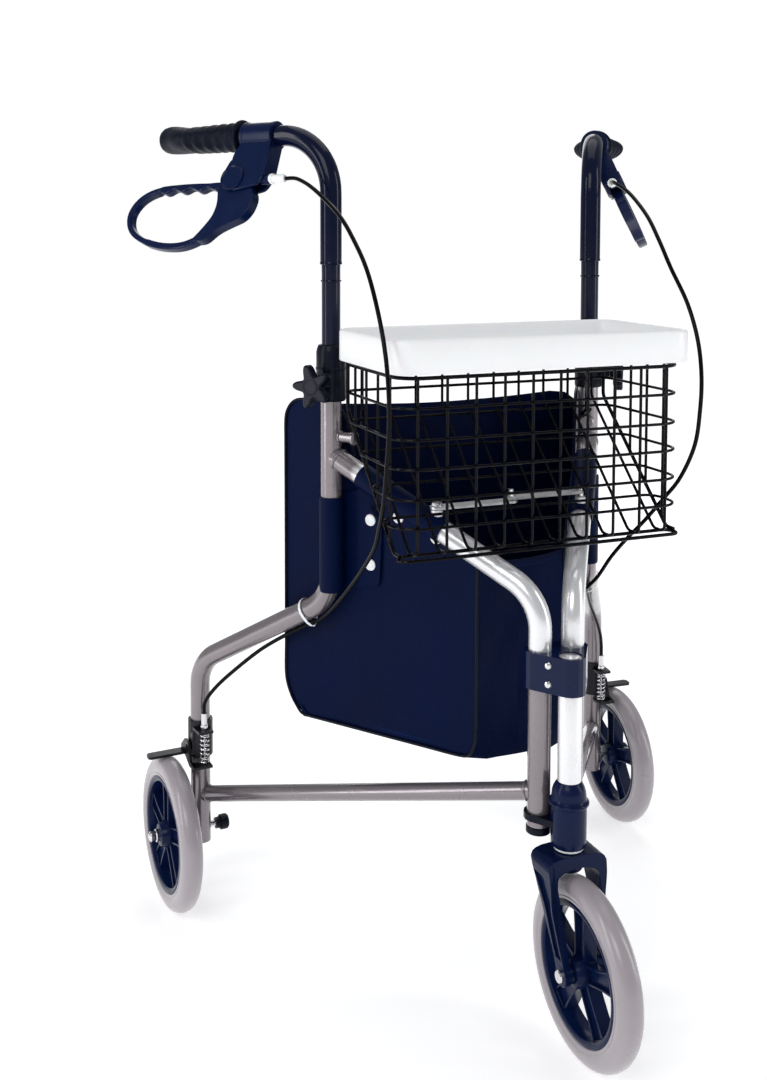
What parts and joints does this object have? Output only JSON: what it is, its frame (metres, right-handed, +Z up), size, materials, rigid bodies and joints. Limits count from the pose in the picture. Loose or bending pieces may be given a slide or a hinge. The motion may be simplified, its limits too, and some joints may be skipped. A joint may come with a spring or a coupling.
{
  "type": "three-wheeled folding walker",
  "caption": "Folding walker with a swivelling front wheel, two braked rear wheels, height-adjustable handles, wire basket with tray and a hanging bag.",
  "frame": {"origin": "on the floor, at the centre of the whole walker's outline seen from above", "axes": "+Z up, front (caster) towards -Y, user behind at +Y, user's right at -X"},
  "size_m": [0.7558, 0.6403, 0.995],
  "materials": {
    "frame_paint": "metallic grey, gloss",
    "silver_paint": "silver, gloss",
    "handle_paint": "navy black, gloss",
    "navy_plastic": "satin",
    "black_plastic": "satin",
    "black_wire": "plastic coated wire, gloss",
    "white_plastic": "satin",
    "chrome_steel": "polished",
    "black_steel": "gloss",
    "grey_tyre": "smooth, slightly glossy",
    "navy_vinyl": "coated cloth with black piping",
    "grip_rubber": "matte"
  },
  "bodies": {
    "head": {"head_tube": "silver_paint", "upper_clamp": "navy_plastic", "lower_hinge_plate": "navy_plastic", "clamp_rivet_lower": "chrome_steel", "clamp_rivet_upper": "chrome_steel", "caster_housing": "navy_plastic", "caster_washer": "white_plastic", "shopping_bag": "navy_vinyl"},
    "caster": {"caster_fork": "navy_plastic", "front_axle_bolt": "chrome_steel"},
    "front_wheel": {"front_wheel": "navy_plastic", "front_tyre": "grey_tyre"},
    "basket": {"basket": "black_wire"},
    "tray": {"tray": "white_plastic"},
    "right_frame": {"right_side_frame": "frame_paint", "right_front_tube_cap": "black_plastic", "right_height_collar": "black_plastic", "right_cable_tie": "white_plastic", "right_brake_bracket": "black_steel", "right_cable_ferrule": "chrome_steel", "right_rear_axle": "chrome_steel", "right_axle_knob": "black_plastic", "right_link_bolt": "chrome_steel", "right_brake_cable": "black_plastic", "right_brake_spring": "chrome_steel"},
    "right_knob": {"right_star_knob": "black_plastic"},
    "right_handle": {"right_handle_tube": "handle_paint", "right_grip": "grip_rubber", "right_brake_housing": "navy_plastic", "right_cable_adjuster": "white_plastic"},
    "right_lever": {"right_brake_lever": "navy_plastic"},
    "right_arm": {"right_brake_arm": "chrome_steel"},
    "right_wheel": {"right_rear_wheel": "navy_plastic", "right_rear_tyre": "grey_tyre"},
    "right_link": {"right_link_arm": "silver_paint"},
    "left_frame": {"left_side_frame": "frame_paint", "left_front_tube_cap": "black_plastic", "left_height_collar": "black_plastic", "left_cable_tie": "white_plastic", "left_brake_bracket": "black_steel", "left_cable_ferrule": "chrome_steel", "left_rear_axle": "chrome_steel", "left_axle_knob": "black_plastic", "left_link_bolt": "chrome_steel", "left_brake_cable": "black_plastic", "left_brake_spring": "chrome_steel"},
    "left_knob": {"left_star_knob": "black_plastic"},
    "left_handle": {"left_handle_tube": "handle_paint", "left_grip": "grip_rubber", "left_brake_housing": "navy_plastic", "left_cable_adjuster": "white_plastic"},
    "left_lever": {"left_brake_lever": "navy_plastic"},
    "left_arm": {"left_brake_arm": "chrome_steel"},
    "left_wheel": {"left_rear_wheel": "navy_plastic", "left_rear_tyre": "grey_tyre"},
    "left_link": {"left_link_arm": "silver_paint", "link_centre_bolt": "chrome_steel"}
  },
  "joints": [
    {"name": "caster_swivel", "type": "hinge", "parent": "head", "child": "caster", "pos_m": [0, -0.187, 0.2], "axis": [0, 0, 1], "continuous": true},
    {"name": "front_wheel_spin", "type": "hinge", "parent": "caster", "child": "front_wheel", "pos_m": [0, -0.223, 0.095], "axis": [1, 0, 0], "continuous": true},
    {"name": "right_fold", "type": "hinge", "parent": "head", "child": "right_frame", "pos_m": [-0.02, -0.158, 0.3], "axis": [0, 0, -1], "range_deg": [0, 23], "deforming": ["shopping_bag"]},
    {"name": "right_link_pivot", "type": "hinge", "parent": "right_frame", "child": "right_link", "pos_m": [-0.09284, -0.05397, 0.557], "axis": [0, 0, 1], "range_deg": [0, 79.4]},
    {"name": "right_height", "type": "slide", "parent": "right_frame", "child": "right_handle", "axis": [0, 0, 1], "range_m": [-0.09, 0.05], "deforming": ["right_brake_cable"]},
    {"name": "right_knob_turn", "type": "hinge", "parent": "right_frame", "child": "right_knob", "pos_m": [-0.20354, 0.0431, 0.684], "axis": [-0.8192, -0.5736, 0], "range_deg": [0, 720]},
    {"name": "right_brake_squeeze", "type": "hinge", "parent": "right_handle", "child": "right_lever", "pos_m": [-0.26332, 0.14529, 0.92062], "axis": [0.7424, 0.5198, -0.4226], "range_deg": [0, 18], "stiffness_Nm_per_rad": 2, "springref_deg": -11.46},
    {"name": "right_brake_press", "type": "hinge", "parent": "right_frame", "child": "right_arm", "pos_m": [-0.30991, 0.22704, 0.204], "axis": [-0.9976, -0.0698, 0], "range_deg": [0, 5.1], "deforming": ["right_brake_spring"]},
    {"name": "right_wheel_spin", "type": "hinge", "parent": "right_frame", "child": "right_wheel", "pos_m": [-0.331, 0.22757, 0.095], "axis": [-0.9976, -0.0698, 0], "continuous": true},
    {"name": "left_fold", "type": "hinge", "parent": "head", "child": "left_frame", "pos_m": [0.02, -0.158, 0.3], "axis": [0, 0, 1], "range_deg": [0, 23]},
    {"name": "left_link_pivot", "type": "hinge", "parent": "left_frame", "child": "left_link", "pos_m": [0.09284, -0.05397, 0.557], "axis": [0, 0, -1], "range_deg": [0, 79.4]},
    {"name": "left_height", "type": "slide", "parent": "left_frame", "child": "left_handle", "axis": [0, 0, 1], "range_m": [-0.09, 0.05], "deforming": ["left_brake_cable"]},
    {"name": "left_knob_turn", "type": "hinge", "parent": "left_frame", "child": "left_knob", "pos_m": [0.20354, 0.0431, 0.684], "axis": [0.8192, -0.5736, 0], "range_deg": [0, 720]},
    {"name": "left_brake_squeeze", "type": "hinge", "parent": "left_handle", "child": "left_lever", "pos_m": [0.26332, 0.14529, 0.92062], "axis": [0.7424, -0.5198, 0.4226], "range_deg": [0, 18], "stiffness_Nm_per_rad": 2, "springref_deg": -11.46},
    {"name": "left_brake_press", "type": "hinge", "parent": "left_frame", "child": "left_arm", "pos_m": [0.30991, 0.22704, 0.204], "axis": [-0.9976, 0.0698, 0], "range_deg": [0, 5.1], "deforming": ["left_brake_spring"]},
    {"name": "left_wheel_spin", "type": "hinge", "parent": "left_frame", "child": "left_wheel", "pos_m": [0.331, 0.22757, 0.095], "axis": [0.9976, -0.0698, 0], "continuous": true},
    {"name": "basket_lift", "type": "slide", "parent": "head", "child": "basket", "axis": [0, 0, 1], "range_m": [0, 0.2]},
    {"name": "tray_lift", "type": "slide", "parent": "basket", "child": "tray", "axis": [0, 0, 1], "range_m": [0, 0.15]}
  ],
  "couplings": [
    {"joint": "right_link_pivot", "follows": "right_fold", "ratio": 3.4467},
    {"joint": "right_brake_press", "follows": "right_brake_squeeze", "ratio": 0.2778},
    {"joint": "left_link_pivot", "follows": "right_fold", "ratio": 3.4467},
    {"joint": "left_fold", "follows": "right_fold", "ratio": 1},
    {"joint": "left_brake_press", "follows": "left_brake_squeeze", "ratio": 0.2778}
  ]
}
